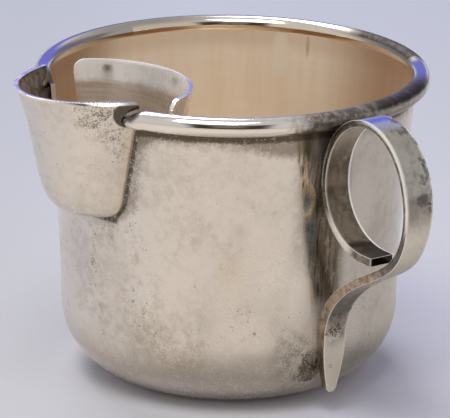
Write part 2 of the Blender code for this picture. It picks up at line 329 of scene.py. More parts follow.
def spout_place(across, up, inset):
    """Point of the pouch: across runs from -1 to 1, up from the foot to the lip."""
    depth = SPOUT_DEPTH - inset
    climb = up * up
    fullness = (1.0 - (1.0 - climb) ** SPOUT_FULLNESS) ** (1 / SPOUT_FULLNESS)
    reach = (SPOUT_REACH - inset) * fullness + LIP_FLARE * climb ** 5
    height = depth * climb
    z = LIP_TOP - depth + height
    half = (SPOUT_WIDTHS[0] + (SPOUT_WIDTHS[1] - SPOUT_WIDTHS[0]) * climb) / 2
    below = max(0.0, SPOUT_CORNER - height)
    half -= SPOUT_CORNER - math.sqrt(SPOUT_CORNER ** 2 - below ** 2)
    above = max(0.0, LIP_CORNER - (depth - height))
    half -= LIP_CORNER - math.sqrt(max(0.0, LIP_CORNER ** 2 - above ** 2))
    half -= SIDE_INSET * inset
    base = wall_radius(z)
    angle = across * math.asin(half / base)
    radius = base + (reach + SPOUT_PROUD) * math.cos(math.pi / 2 * across)
    return Vector((radius * math.sin(angle), -radius * math.cos(angle), z)) * MM


def laid_sheet(name, columns, rows, place):
    """A flat grid with every point moved to its place."""
    bpy.ops.object.select_all(action="DESELECT")
    bpy.ops.mesh.primitive_grid_add(x_subdivisions=columns, y_subdivisions=rows, size=1.0)
    piece = named(name)
    for point in piece.data.vertices:
        point.co = place(2.0 * point.co.x, point.co.y + 0.5)
    return piece


spout = laid_sheet("spout_pouch", 96, 96, lambda across, up: spout_place(across, up, 0.0))
lining = laid_sheet("spout_lining", 96, 96, lambda across, up: spout_place(across, up, SPOUT_SHEET))
only(lining)
bpy.ops.object.mode_set(mode="EDIT")
bpy.ops.mesh.select_all(action="SELECT")
bpy.ops.mesh.flip_normals()
bpy.ops.object.mode_set(mode="OBJECT")
outer_faces = len(spout.data.polygons)
only(spout)
lining.select_set(True)
bpy.ops.object.join()
open_slots(spout, 2)
for face in spout.data.polygons[outer_faces:]:
    face.material_index = 1
bpy.ops.object.mode_set(mode="EDIT")
bpy.ops.mesh.select_mode(type="EDGE")
bpy.ops.mesh.select_all(action="DESELECT")
bpy.ops.mesh.select_non_manifold(extend=False)
bpy.ops.mesh.bridge_edge_loops()
bpy.ops.mesh.select_all(action="SELECT")
bpy.ops.mesh.normals_make_consistent(inside=False)
bpy.ops.object.mode_set(mode="OBJECT")
round_edges(spout, 0.28)
notch_half = WIRE_HALF + NOTCH_GAP
carve(spout, rim_tube("notch_tool", notch_half, WIRE_TIP + NOTCH_TIP, NOTCH_DROP, rings=240, sides=32))
smooth(spout)
print("spout", len(spout.data.polygons), "faces")

# %% [markdown]
# ## The guard
# Inside, a curved plate keeps most of the drink back from the spout. From above it is an arch, and
# below it curls under to the wall. Its upper corners are free and rounded. It is laid out like the
# spout, and Solidify gives it its thickness on the side away from the spout.

# %% Guard
GUARD_TOP = 61.1
GUARD_FOOT = 39.9
GUARD_HALF = 16.8
GUARD_FOOT_HALF = 9.0
GUARD_SHEET = 0.8
GUARD_GAP = 0.1
GUARD_DEPTH = 15.0
GUARD_APEX = 13.8
GUARD_CORNER = 2.4
GUARD_LEAN = math.radians(15.0)
GUARD_SPAN = math.radians(77.0)
GUARD_TAPER = math.radians(12.0)


def guard_place(share, up):
    """Point on the spout side of the guard."""
    across = math.sin(math.pi / 2 * share)
    angle = GUARD_LEAN + (math.pi / 2 - GUARD_LEAN) * (1.0 - up)
    hold = math.cos(angle) / math.cos(GUARD_LEAN)
    sink = (math.sin(angle) - math.sin(GUARD_LEAN)) / (1.0 - math.sin(GUARD_LEAN))
    side = across * (GUARD_SPAN - GUARD_TAPER * sink)
    arch_x = GUARD_HALF * math.sin(side)
    arch_d = GUARD_APEX + GUARD_DEPTH - GUARD_DEPTH * math.cos(side)
    foot_x = GUARD_FOOT_HALF * across
    foot_d = math.sqrt((wall_radius(GUARD_FOOT) - BOWL_SHEET - GUARD_GAP) ** 2 - foot_x ** 2)
    from_end = GUARD_SPAN * (GUARD_HALF + GUARD_DEPTH) / 2 * (1.0 - abs(across))
    short = max(0.0, GUARD_CORNER - from_end)
    crown = GUARD_TOP - GUARD_CORNER + math.sqrt(max(0.0, GUARD_CORNER ** 2 - short ** 2))
    x = foot_x + (arch_x - foot_x) * hold
    d = foot_d + (arch_d - foot_d) * hold
    return Vector((x, -d, crown - (crown - GUARD_FOOT) * sink)) * MM


guard = laid_sheet("guard_plate", 120, 64, guard_place)
open_slots(guard, 2)
apply(
    guard,
    "SOLIDIFY",
    thickness=GUARD_SHEET * MM,
    offset=-1.0,
    use_even_offset=True,
    material_offset_rim=1,
)
round_edges(guard, 0.26, material=1)
smooth(guard)
print("guard", len(guard.data.polygons), "faces")

# %% [markdown]
# ## The handle
# One strip was forged and bent: its narrow tail stands on the wall, the thick strut swings out, and the
# loop comes round the top and back to a free end. The middle line is worked out first and divided
# evenly. A long grid then follows it, as wide as the strip is at each place. Solidify gives the
# thickness, and a vertex group says how much of it each point gets.

# %% Handle
STRIP_WIDE_AT = ((10.0, 5.0), (45.0, 5.2), (58.0, 6.0), (75.0, 5.6), (112.0, 5.5), (130.0, 5.1))
STRIP_THICK_AT = ((5.0, 1.5), (15.0, 2.3), (22.0, 2.06), (28.0, 1.64), (34.0, 1.6), (42.0, 1.25))
STRIP_THICK = 1.25
STRIP_THICKEST = 2.3
TAIL_WIDE = 2.4
TAIL_TAPER = 9.0
TAIL_BOTTOM = 4.4
TAIL_TALL = 11.2
WALL_GAP = 0.02
STRUT_PULL = 11.2
JOIN_PULL = 6.1
JOIN_SLOPE = math.radians(-58.0)
JOIN_RISE = 0.58
LOOP_HALF = 12.4
LOOP_HEIGHT = 46.7
LOOP_ABOVE = 14.6
LOOP_BELOW = 12.3
LOOP_SAG = 15.4
LOOP_LEAN = 1.0
LOOP_GAP = 0.3
END_STRAIGHT = 2.3
LOOP_MIDDLE = wall_radius(LOOP_HEIGHT) + LOOP_GAP + LOOP_HALF


def between(stops, at):
    """Read a value from a short table of places and values."""
    for (low, first), (high, second) in zip(stops, stops[1:]):
        if at < high:
            return first + (second - first) * max(0.0, (at - low) / (high - low))
    return stops[-1][1]


def strip_line():
    """Middle line of the strip, from the tip of the tail. By the wall, the loop leans to the spout."""
    half = STRIP_THICK / 2
    wide = LOOP_HALF - half

    def on_loop(angle, tall):
        out = math.cos(angle)
        z = LOOP_HEIGHT + (tall - half) * math.sin(angle)
        return Vector((LOOP_MIDDLE + wide * out, LOOP_LEAN * (out - 1.0) / 2, z))

    points = []
    for step in range(41):
        z = TAIL_BOTTOM + TAIL_TALL * step / 40
        off_wall = WALL_GAP + between(STRIP_THICK_AT, z) / 2
        points.append(Vector((wall_radius(z) + off_wall, 0.0, z)))
    slope = JOIN_SLOPE
    join = on_loop(slope, LOOP_SAG - JOIN_RISE)
    heading = Vector((-wide * math.sin(slope), 0.0, (LOOP_SAG - half) * math.cos(slope))).normalized()
    start = points[-1]
    lean = wall_radius(start.z + STRUT_PULL) - wall_radius(start.z)
    pulls = (start, start + Vector((lean, 0.0, STRUT_PULL)), join - heading * JOIN_PULL, join)
    for step in range(1, 81):
        t = step / 80
        weights = ((1 - t) ** 3, 3 * (1 - t) ** 2 * t, 3 * (1 - t) * t * t, t ** 3)
        points.append(sum((pull * weight for pull, weight in zip(pulls, weights)), Vector()))
    for step in range(1, 161):
        angle = slope + (math.pi - slope) * step / 160
        sag = LOOP_SAG - JOIN_RISE * (angle / slope) ** 2
        points.append(on_loop(angle, LOOP_ABOVE if angle > 0.0 else sag))
    for step in range(1, 49):
        points.append(on_loop(math.pi * (1.0 + step / 96), LOOP_BELOW))
    points.append(points[-1] + Vector((END_STRAIGHT, 0.0, 0.0)))
    return points


line = strip_line()
lengths = [0.0]
for before, after in zip(line, line[1:]):
    lengths.append(lengths[-1] + (after - before).length)
STRIP_LENGTH = lengths[-1]


def on_line(along):
    """Point of the line at a distance from the tip."""
    k = 1
    while k < len(lengths) - 1 and lengths[k] < along:
        k += 1
    share = (along - lengths[k - 1]) / (lengths[k] - lengths[k - 1])
    return line[k - 1].lerp(line[k], share)


def strip_wide(along):
    """Width of the strip: a round tip, widest under the loop, narrower at the free end."""
    tip = TAIL_WIDE / 2
    if along < tip:
        return 2.0 * math.sqrt(tip ** 2 - (tip - max(along, tip / 12)) ** 2)
    share = min(1.0, (along - tip) / TAIL_TAPER)
    return TAIL_WIDE + (between(STRIP_WIDE_AT, along) - TAIL_WIDE) * math.sin(math.pi / 2 * share)


def strip_place(across, up):
    """Point of the strip's middle face."""
    along = STRIP_LENGTH * up
    spot = on_line(along)
    return Vector((spot.x, spot.y + across * strip_wide(along) / 2, spot.z)) * MM


handle = laid_sheet("handle_loop", 16, 420, strip_place)
open_slots(handle, 5)
body = handle.vertex_groups.new(name="thickness")
for point in handle.data.vertices:
    body.add([point.index], between(STRIP_THICK_AT, point.co.z / MM) / STRIP_THICKEST, "REPLACE")
apply(
    handle,
    "SOLIDIFY",
    thickness=STRIP_THICKEST * MM,
    vertex_group=body.name,
    offset=0.0,
    use_even_offset=True,
    material_offset=1,
    material_offset_rim=2,
)
handle.vertex_groups.clear()
rim_faces = [face for face in handle.data.polygons if face.material_index == 2]
for face in rim_faces:
    if abs(face.normal.y) < 0.5:
        face.material_index = 4 if face.center.z > 20 * MM else 0
round_edges(handle, 0.36, material=3)
smooth(handle)
print("handle strip", round(STRIP_LENGTH, 1), "mm long,", len(handle.data.polygons), "faces")

# %% [markdown]
# ## Shader maths in Python
# Worn metal is many layers of noise, and a tree of Math nodes is hard to read. This small class wraps
# one socket, so that an ordinary expression adds the nodes. One method makes any other node.

# %% A socket that can be calculated with
class Shade:
    """A socket of a node tree. Arithmetic on it adds Math nodes."""

    def __init__(self, tree, socket=None):
        self.tree = tree
        self.socket = socket

    def node(self, kind, settings=None, inputs=None, out=0):
        """Add a node: its settings first, then the values or links of its sockets."""
        made = self.tree.nodes.new(kind)
        for key, value in (settings or {}).items():
            setattr(made, key, value)
        for key, value in (inputs or {}).items():
            if isinstance(value, Shade):
                self.tree.links.new(value.socket, made.inputs[key])
            else:
                made.inputs[key].default_value = value
        return Shade(self.tree, made.outputs[out])

    def math(self, operation, *values):
        return self.node("ShaderNodeMath", {"operation": operation}, dict(enumerate(values)))

    def __add__(self, other):
        return self.math("ADD", self, other)

    def __sub__(self, other):
        return self.math("SUBTRACT", self, other)

    def __rsub__(self, other):
        return self.math("SUBTRACT", other, self)

    def __mul__(self, other):
        return self.math("MULTIPLY", self, other)

    def __truediv__(self, other):
        return self.math("DIVIDE", self, other)

    __radd__ = __add__
    __rmul__ = __mul__


def ramp(value, low, high):
    """0 below low, 1 above high, smooth between."""
    inputs = {"Value": value, "From Min": low, "From Max": high}
    return value.node("ShaderNodeMapRange", {"interpolation_type": "SMOOTHSTEP"}, inputs)


def fade(value, low, high):
    """1 below low, 0 above high, smooth between."""
    return 1.0 - ramp(value, low, high)


def size_of(value):
    """A value without its sign."""
    return value.math("ABSOLUTE", value)


def larger(first, second):
    """The larger of two values."""
    return first.math("MAXIMUM", first, second)


def blend(share, first, second):
    """Mix two colours, each a socket or red, green and blue."""
    ends = [tone if isinstance(tone, Shade) else (*tone, 1.0) for tone in (first, second)]
    return share.node("ShaderNodeMix", {"data_type": "RGBA"}, {0: share, 6: ends[0], 7: ends[1]}, 2)


def noise(at, scale, detail=3.0, rough=0.55):
    """Cloudy values round 0.5, with scale in features per millimetre."""
    inputs = {"Vector": at, "Scale": scale, "Detail": detail, "Roughness": rough}
    return at.node("ShaderNodeTexNoise", None, inputs, 0)


def vector(operation, at, other=(0.0, 0.0, 0.0), out=0):
    """A Vector Math node. Its second outlet is a plain value, such as a length."""
    return at.node("ShaderNodeVectorMath", {"operation": operation}, {0: at, 1: other}, out)


def stretched(at, x, y, z):
    """Coordinates scaled apart, to draw a pattern out along one way."""
    return vector("MULTIPLY", at, (x, y, z))


def parts_of(at):
    """The three numbers of a vector."""
    return [at.node("ShaderNodeSeparateXYZ", None, {0: at}, k) for k in range(3)]


class Finish:
    """A metal finish under construction: its tree and its coordinates in millimetres."""

    def __init__(self, name):
        self.material = bpy.data.materials.new(name)
        self.material.use_nodes = True
        tree = self.material.node_tree
        self.shader = tree.nodes["Principled BSDF"]
        self.shader.inputs["Metallic"].default_value = 1.0
        start = Shade(tree).node("ShaderNodeTexCoord", None, None, "Object")
        self.at = stretched(start, 1.0 / MM, 1.0 / MM, 1.0 / MM)
        self.x, self.y, self.z = parts_of(self.at)
        self.angle = self.x.math("ARCTAN2", self.y, self.x) * math.degrees(1.0)
        self.radius = self.x.math("SQRT", self.x * self.x + self.y * self.y)
        layout = start.node("ShaderNodeTexCoord", None, None, "UV")
        self.u, self.v, _ = parts_of(layout)
        self.across = size_of(self.u * 2.0 - 1.0)

    def oval(self, angle, z, wide, tall):
        """How far out in an oval on the wall a point is: 0 in its middle, 1 at its edge."""
        off = (self.angle - angle) / wide
        up = (self.z - z) / tall
        return off * off + up * up

    def patch(self, angle, z, wide, tall):
        """A soft patch on the wall: 1 in its middle, 0 at its edge."""
        return fade(self.oval(angle, z, wide, tall), 0.0, 1.0)

    def spot(self, x, y, z, size):
        """A soft ball anywhere: 1 in its middle, 0 at its edge."""
        return fade(vector("DISTANCE", self.at, (x, y, z), 1), 0.0, size)

    def link(self, value, name):
        """Let a value drive an input of the shader."""
        self.material.node_tree.links.new(value.socket, self.shader.inputs[name])

    def done(self, colour, roughness, height, depth):
        """Link colour, roughness and a bump of a depth in millimetres."""
        self.link(colour, "Base Color")
        self.link(roughness, "Roughness")
        inputs = {"Strength": 1.0, "Distance": depth * MM, "Height": height}
        self.link(height.node("ShaderNodeBump", None, inputs, "Normal"), "Normal")
        print("finish", self.material.name, "with", len(self.material.node_tree.nodes), "nodes")
        return self.material


# %% [markdown]
# ## Worn silver outside
# Old silver is bright where hands polish it, cloudy where they don't, and dark in pits. Clouds of noise
# mix a bright and a dull colour. Pits are the peaks of a fine noise, and soft patches lower the level a
# peak has to reach, so that pits crowd together beside the spout, low on the wall and by the handle.
# Dirt lies along the solder seams and under the rim; the crease right under the rim holds dirt and
# painted shade. The wall is painted darker towards the bottom, as shade, and beside the handle it
# carries a painted reflection and shadow of the handle.
# A patch is given by its angle round the cup and its height, then its half width in degrees and its
# half height in millimetres. A stain has a colour as well. Later layers lie over earlier ones.

# %% Silver of the bowl
SILVER = (0.685, 0.657, 0.63)
DULL = (0.58, 0.547, 0.513)
BROWN = (0.34, 0.23, 0.14)
# Dark brown for real dirt and pits, and also for painted shade in creases and recesses.
DIRT_AND_SHADE = (0.085, 0.069, 0.05)
SPOUT_SLOPE = 0.252
CROWDS = (
    (-68.0, 48.0, 6.0, 12.0),
    (-78.0, 36.0, 8.0, 5.0),
    (-86.0, 31.0, 7.0, 9.0),
    (-67.0, 34.0, 7.0, 6.0),
    (-86.0, 22.0, 9.0, 8.0),
    (-64.0, 23.0, 12.0, 9.0),
    (-50.0, 13.5, 15.0, 6.0),
    (-29.0, 19.5, 7.0, 6.0),
    (-18.0, 19.0, 5.0, 6.0),
    (-14.0, 12.0, 8.0, 7.0),
    (-5.0, 9.4, 6.0, 6.0),
)
CLOUDY = (0.45, 0.405, 0.355)
CLEAN = (0.84, 0.805, 0.77)
STAINS = (
    (-63.0, 14.3, 12.0, 7.0, (0.34, 0.305, 0.265)),
    (-51.0, 11.0, 10.0, 4.5, CLOUDY),
    (-7.0, 18.0, 8.0, 10.0, CLOUDY),
    (-72.0, 27.0, 9.0, 10.0, (0.60, 0.56, 0.53)),
    (-80.0, 15.5, 10.0, 5.5, (0.42, 0.39, 0.355)),
    (-70.0, 19.5, 9.0, 6.0, (0.52, 0.48, 0.44)),
    (-79.0, 34.0, 8.0, 4.0, (0.40, 0.37, 0.34)),
    (-12.0, 10.5, 11.0, 7.5, (0.12, 0.10, 0.085)),
    (-34.0, 29.0, 8.0, 6.0, (0.68, 0.60, 0.50)),
    (-26.5, 17.0, 10.0, 5.5, (0.95, 0.91, 0.865)),
    (-35.0, 48.0, 11.0, 9.0, (0.69, 0.63, 0.60)),
    (-36.0, 15.5, 9.0, 6.0, CLEAN),
    (-32.0, 22.5, 13.0, 8.0, CLEAN),
    (-18.0, 26.5, 10.0, 9.0, CLEAN),
    (-11.5, 23.5, 5.0, 8.0, CLEAN),
    (-24.0, 32.0, 11.0, 9.0, CLEAN),
    (11.0, 40.0, 9.0, 10.0, CLEAN),
    (9.0, 15.0, 9.0, 10.0, CLEAN),
)


def pits(finish, crowd, low=0.63, high=0.69):
    """Small dark pits: the peaks of a fine noise, more of them where a crowd mask is high."""
    fine = noise(finish.at, 2.9, 3.0, 0.65)
    grouped = noise(finish.at, 0.45, 3.0, 0.6)
    return ramp(fine * 0.6 + grouped * 0.4 + crowd * 0.06, low, high)


def painted_handle_reflection(finish, fleck):
    """Painted reflection and shadow of the handle on the wall beside it: gold streaks on slate and
    brown.
    """
    into = finish.angle + 15.0 - (55.0 - finish.z) * 0.257 - ramp(29.0 - finish.z, 0.0, 8.0) * 2.6
    streak = noise(stretched(finish.at, 2.6, 2.6, 0.11), 1.0, 4.0, 0.6)
    tone = blend(ramp(streak, 0.40, 0.60), DIRT_AND_SHADE, (0.22, 0.178, 0.135))
    left = fade(into, 2.0, 5.0)
    tone = blend(left * ramp(streak, 0.38, 0.54), tone, (0.48, 0.455, 0.42))
    tone = blend(left * ramp(streak, 0.50, 0.60) * ramp(finish.z, 40.0, 44.0), tone, (0.92, 0.71, 0.47))
    tone = blend(finish.patch(-9.0, 56.0, 8.0, 8.0) * 0.55, tone, DIRT_AND_SHADE)
    tone = blend(finish.patch(-10.2, 35.5, 4.5, 8.0) * 0.9, tone, (0.42, 0.435, 0.44))
    ring = finish.oval(-10.3, 42.5, 3.2, 4.2)
    tone = blend(fade(ring, 0.8, 1.1) * 0.7, tone, (0.60, 0.46, 0.31))
    tone = blend(fade(ring, 0.02, 0.30), tone, (0.27, 0.30, 0.33))
    tone = blend(ramp(fleck, 0.52, 0.66) * ramp(into, 4.0, 8.0) * 0.8, tone, (0.37, 0.28, 0.19))
    edge = ramp(into + fleck * 2.0, 0.4, 1.8) * fade(finish.angle + fleck * 2.0, 2.0, 8.0)
    return tone, edge * ramp(finish.z, 19.0, 25.0)


def bowl_silver():
    finish = Finish("bowl_silver")
    cloud = noise(finish.at, 0.06, 5.0, 0.6)
    fleck = noise(finish.at, 0.55, 5.0, 0.68)
    ragged = fleck * 0.5 + noise(finish.at, 2.4, 3.0, 0.7) * 0.5
    dull = ramp(cloud * 0.55 + fleck * 0.45, 0.42, 0.62)
    crowd = ramp(cloud, 0.58, 0.74) * 0.5
    for place in CROWDS:
        crowd = crowd + finish.patch(*place)
    pit = pits(finish, crowd)
    side = size_of(finish.x)
    front = ramp(0.0 - finish.y, 4.0, 10.0)
    past = side - (finish.z - SPOUT_FOOT) * SPOUT_SLOPE - SPOUT_WIDTHS[0] / 2
    below = larger(SPOUT_FOOT + SPOUT_CORNER - finish.z, 0.0)
    round_part = larger(SPOUT_CORNER ** 2 - below * below, 0.0)
    corner = SPOUT_CORNER - round_part.math("SQRT", round_part)
    # Under the spout's edge the wall is painted dark, as shade. Past its edge lies a dark solder seam.
    under = ramp(finish.z, 36.2, 36.9) * ramp(0.0 - past, 0.0, 1.0)
    seam = fade(past + corner - ragged, 0.1, 0.7) * ramp(finish.z, 37.0, 38.2)
    seam = (seam + under) * front
    seam_dirt = fade(past + corner - ragged * 6.0, -2.2, 0.9) * front * ramp(finish.z, 34.5, 38.0)
    by_rim = finish.patch(-14.0, 57.5, 20.0, 9.0) * 1.6 + finish.patch(-64.0, 58.0, 8.0, 7.0) * 1.4
    # Dirt and painted shade in the crease right under the rim wire.
    rim_crease_dirt_and_shade = ramp(finish.z + ragged * 2.2, 55.9, 56.6)
    rim_dirt = ramp(finish.z + ragged * 6.0 + by_rim * 2.4, 56.0, 59.4)
    # Painted shade: the wall darkens towards the bottom, where its corner mirrors the shaded floor.
    low = fade(finish.z + fleck * 3.0, 8.5, 16.5) * (0.15 + ramp(finish.z, 2.5, 7.5) * 0.85)
    mottle = 0.35 + ramp(fleck * 0.6 + cloud * 0.4, 0.40, 0.60) * 0.65
    tone, band = painted_handle_reflection(finish, fleck)
    colour = blend(dull, SILVER, DULL)
    for angle, z, wide, tall, stain in STAINS:
        colour = blend(finish.patch(angle, z, wide, tall) * mottle * 0.6, colour, stain)
    colour = blend(ramp(crowd, 0.2, 1.0) * ramp(fleck, 0.44, 0.70) * 0.25, colour, BROWN)
    colour = blend(low * (0.75 - ramp(finish.angle, 0.0, 8.0) * 0.4), colour, (0.38, 0.355, 0.335))
    # Painted reflection and shadow of the handle on the wall beside it.
    colour = blend(band * 0.95, colour, tone)
    by_tail = finish.patch(-7.0, 9.2, 11.0, 7.0) * 0.22 + finish.patch(-5.2, 9.4, 6.0, 5.0) * 0.22
    colour = blend(ramp(by_tail + ragged, 0.70, 0.82) * 0.9, colour, DIRT_AND_SHADE)
    colour = blend(seam_dirt * 0.62, colour, (0.15, 0.122, 0.09))
    colour = blend(rim_dirt * 0.75, colour, (0.19, 0.155, 0.115))
    colour = blend(seam * 0.95, colour, DIRT_AND_SHADE)
    cut = front * fade(side, SLOT_HALF + 0.05, SLOT_HALF + 0.3) * ramp(finish.z, 44.3, 45.3)
    colour = blend(cut, colour, (0.60, 0.50, 0.40))
    # Painted light: a lighter, less metallic patch where the wall would mirror the dark side of the
    # tail.
    beside = finish.patch(-4.0, 17.0, 5.5, 8.0)
    colour = blend(beside * 0.7, colour, (0.60, 0.535, 0.46))
    finish.link(1.0 - cut * 0.75 - beside * 0.6 - finish.patch(-5.0, 51.0, 7.0, 10.0) * 0.6, "Metallic")
    colour = blend(rim_crease_dirt_and_shade * (1.0 - cut) * 0.95, colour, DIRT_AND_SHADE)
    colour = blend(pits(finish, crowd, 0.56, 0.62) * (1.0 - band) * 0.4, colour, CLEAN)
    colour = blend(pit * 0.7, colour, DIRT_AND_SHADE)
    rough = 0.20 + dull * 0.10 + pit * 0.25
    wave = noise(finish.at, 0.05, 2.0, 0.5)
    scratch = noise(stretched(finish.at, 0.6, 0.6, 3.0), 1.0, 3.0, 0.6)
    return finish.done(colour, rough, wave + scratch * 0.012 - pit * 0.05, 0.35)


outside = bowl_silver()

# %% [markdown]
# ## Gilding inside
# The inside was gilt by plating and is matt from use, so its roughness is high. Faint marks of cloths
# are a noise drawn far out upwards. It is darker towards the top, it is painted browner towards the
# left and right as the camera sees it, as shade, and a painted highlight lies on the far wall.

# %% Gilding
GILT = (0.95, 0.86, 0.72)
GILT_WORN = (0.88, 0.76, 0.59)


def bowl_gilding():
    finish = Finish("bowl_gilding")
    finish.shader.inputs["Metallic"].default_value = 0.62
    brush = noise(stretched(finish.at, 0.05, 0.05, 5.0), 1.0, 3.0, 0.65)
    drawn = noise(stretched(finish.at, 0.45, 0.45, 0.03), 1.0, 3.0, 0.6)
    cloud = noise(finish.at, 0.06, 4.0, 0.6)
    worn = ramp(brush * 0.2 + cloud * 0.3 + drawn * 0.5, 0.42, 0.62)
    # A painted highlight on the far wall of the gilding.
    painted_highlight = finish.patch(128.5, 53.5, 4.0, 5.5)
    # Painted shade: the gilding goes darker and browner towards the left and right as the camera sees
    # it.
    rightwards = finish.y * RIGHT.y + finish.x * RIGHT.x
    right = ramp(rightwards, 15.0, 31.0)
    left = ramp(0.0 - rightwards, 20.0, 32.0)
    top = ramp(finish.z, 53.0, 56.5)
    line = finish.patch(118.8, 55.6, 0.8, 3.0)
    colour = blend(worn * 0.7, GILT, GILT_WORN)
    colour = blend(top * 0.4, colour, (0.62, 0.46, 0.32))
    colour = blend(right * 0.82, colour, (0.36, 0.20, 0.11))
    colour = blend(left * 0.82, colour, (0.37, 0.215, 0.115))
    colour = blend(painted_highlight * 0.7, colour, (1.0, 0.95, 0.84))
    colour = blend(line * 0.6, colour, (0.45, 0.33, 0.22))
    rough = 0.52 + worn * 0.06 - painted_highlight * 0.12
    height = brush * 0.06 + noise(finish.at, 0.06, 2.0, 0.5)
    return finish.done(colour, rough, height, 0.3)


gilding = bowl_gilding()
dress(bowl, "cup_bowl", "bowl_silver", outside, gilding)

# %% [markdown]
# ## Rim wire and guard
# Lips and cloths keep the wire and the guard bright. The wire is brown only near the handle and on the
# far right, and its lower inner side has some of the gilding. Near its ends it is painted dark, as the
# shade of the notch and the spout. The guard is painted with a brown reflection low down, a shadow mark
# at its left end, and white highlights along its edges.

# %% Finish of the wire and the guard
BRIGHT = (0.78, 0.748, 0.712)


def wire_silver():
    finish = Finish("wire_silver")
    fleck = noise(finish.at, 0.5, 4.0, 0.65)
    outwards = finish.radius - WIRE_RING
    near_handle = ramp(finish.angle + fleck * 12.0, -14.0, -3.0) * fade(finish.angle, 36.0, 50.0)
    far_left = ramp(size_of(finish.angle), 140.0, 172.0)
    far_right = ramp(finish.angle + fleck * 8.0, 62.0, 73.0) * fade(finish.angle, 97.0, 115.0)
    far_right = far_right * ramp(outwards, -1.9, -1.4)
    crest = ramp(finish.z + fleck * 0.8, 59.2, 60.0)
    past_loop = ramp(finish.angle, 4.0, 16.0)
    tarnish = near_handle * (0.7 + ramp(fleck, 0.34, 0.56) * 0.3)
    tarnish = tarnish * (1.0 - past_loop * (1.0 - crest) * 0.55)
    warm = ramp(finish.angle, 84.0, 100.0) * fade(finish.z, 59.2, 60.2) * (1.0 - far_right)
    # Painted shade: the wire's top darkens near its tip, where it mirrors the dark notch.
    ends = ramp(finish.spot(15.6, -32.7, WIRE_HEIGHT + 1.6, 3.6) + fleck * 0.3, 0.30, 0.62)
    # Painted shade on the far end of the wire, inside the dark of the spout.
    far_tip_shade = finish.spot(-13.4, -33.6, WIRE_HEIGHT, 7.0)
    tip = ramp(finish.spot(13.0, -33.7, WIRE_HEIGHT - 0.6, 4.5), 0.0, 0.4)
    under = near_handle * fade(finish.z, 57.6, 58.8) * ramp(outwards, -0.6, 0.4)
    inner = ramp(WIRE_RING - 0.7 - finish.radius, 0.0, 0.5) * fade(finish.z, 57.9, 58.7)
    pit = pits(finish, near_handle * 1.5 - 0.6)
    colour = blend(ramp(fleck, 0.5, 0.8) * 0.5, BRIGHT, DULL)
    colour = blend(far_left * 0.75, colour, (0.30, 0.27, 0.24))
    mottle = ramp(noise(finish.at, 0.8, 4.0, 0.7), 0.40, 0.60)
    worn = blend(mottle, (0.030, 0.024, 0.021), (0.09, 0.075, 0.066))
    colour = blend(far_right * 0.95, colour, worn)
    colour = blend(warm * 0.7, colour, (0.80, 0.69, 0.54))
    colour = blend(tarnish * 0.95, colour, (0.10, 0.084, 0.068))
    colour = blend(near_handle * past_loop * crest * 0.75, colour, (0.045, 0.036, 0.034))
    colour = blend(under * 0.8, colour, (0.16, 0.13, 0.10))
    colour = blend(inner * 0.8, colour, (0.72, 0.58, 0.42))
    colour = blend(ends * 0.85, colour, (0.15, 0.13, 0.105))
    colour = blend(ramp(far_tip_shade, 0.0, 0.5), colour, (0.19, 0.15, 0.10))
    colour = blend(pit * 0.8, colour, DIRT_AND_SHADE)
    rough = 0.10 + tarnish * 0.32 + far_right * 0.55 + pit * 0.2
    rough = rough + (ends + tip) * 0.3 + ramp(far_tip_shade, 0.0, 0.5) * 0.4
    return finish.done(colour, rough, noise(finish.at, 0.08, 2.0, 0.5), 0.12)


def guard_silver():
    finish = Finish("guard_silver")
    left = fade(finish.x, -14.5, -8.0)
    finish.link(0.7 - left * 0.45, "Metallic")
    edge = larger(ramp(finish.v, 0.965, 0.985), ramp(finish.across, 0.975, 0.99))
    streak = noise(stretched(finish.at, 1.0, 1.0, 0.06), 0.9, 3.0, 0.6)
    across = noise(stretched(finish.at, 0.1, 0.1, 2.2), 1.0, 3.0, 0.6)
    fleck = noise(finish.at, 0.35, 4.0, 0.6)
    # Painted reflection: near white above and browner below, as if the guard mirrored the spout's
    # inside.
    low = fade(finish.z + fleck * 1.2 + across * 0.8, 57.2, 59.0)
    colour = blend(ramp(streak, 0.46, 0.70) * 0.2, (1.0, 0.97, 0.93), DULL)
    painted_lower_reflection = blend(ramp(across, 0.35, 0.65), (0.49, 0.40, 0.325), (0.60, 0.50, 0.41))
    colour = blend(low, colour, painted_lower_reflection)
    # Painted shadow: a dark mark near the guard's left end.
    colour = blend(finish.spot(-13.0, -20.0, 58.3, 2.2) * 0.4, colour, (0.30, 0.265, 0.22))
    colour = blend(finish.spot(-13.2, -19.8, 59.5, 1.5) * 0.9, colour, (0.20, 0.18, 0.15))
    colour = blend(finish.spot(1.7, -14.1, 59.7, 2.2) * 0.6, colour, (0.30, 0.31, 0.30))
    # Painted highlight along the guard's upper edge and its ends.
    colour = blend(edge * 0.9, colour, (1.0, 0.99, 0.96))
    rough = 0.24 + streak * 0.06
    return finish.done(colour, rough, noise(finish.at, 0.1, 2.0, 0.5) + streak * 0.02, 0.12)


def guard_edges():
    finish = Finish("guard_edges")
    finish.link(0.4 + ramp(finish.x, 0.0, 9.0) * 0.6, "Metallic")
    fleck = noise(finish.at, 0.8, 3.0, 0.6)
    # Painted highlight: the edges are near white and partly matt, so they light up as bright lines.
    colour = blend(fleck * 0.6, (1.0, 0.985, 0.95), (0.80, 0.77, 0.73))
    return finish.done(colour, 0.22 + fleck * 0.08, noise(finish.at, 0.2, 2.0, 0.5), 0.05)


dress(wire, "rim_wire", "wire_silver", wire_silver())
dress(guard, "splash_guard", "guard_silver", guard_silver(), guard_edges())
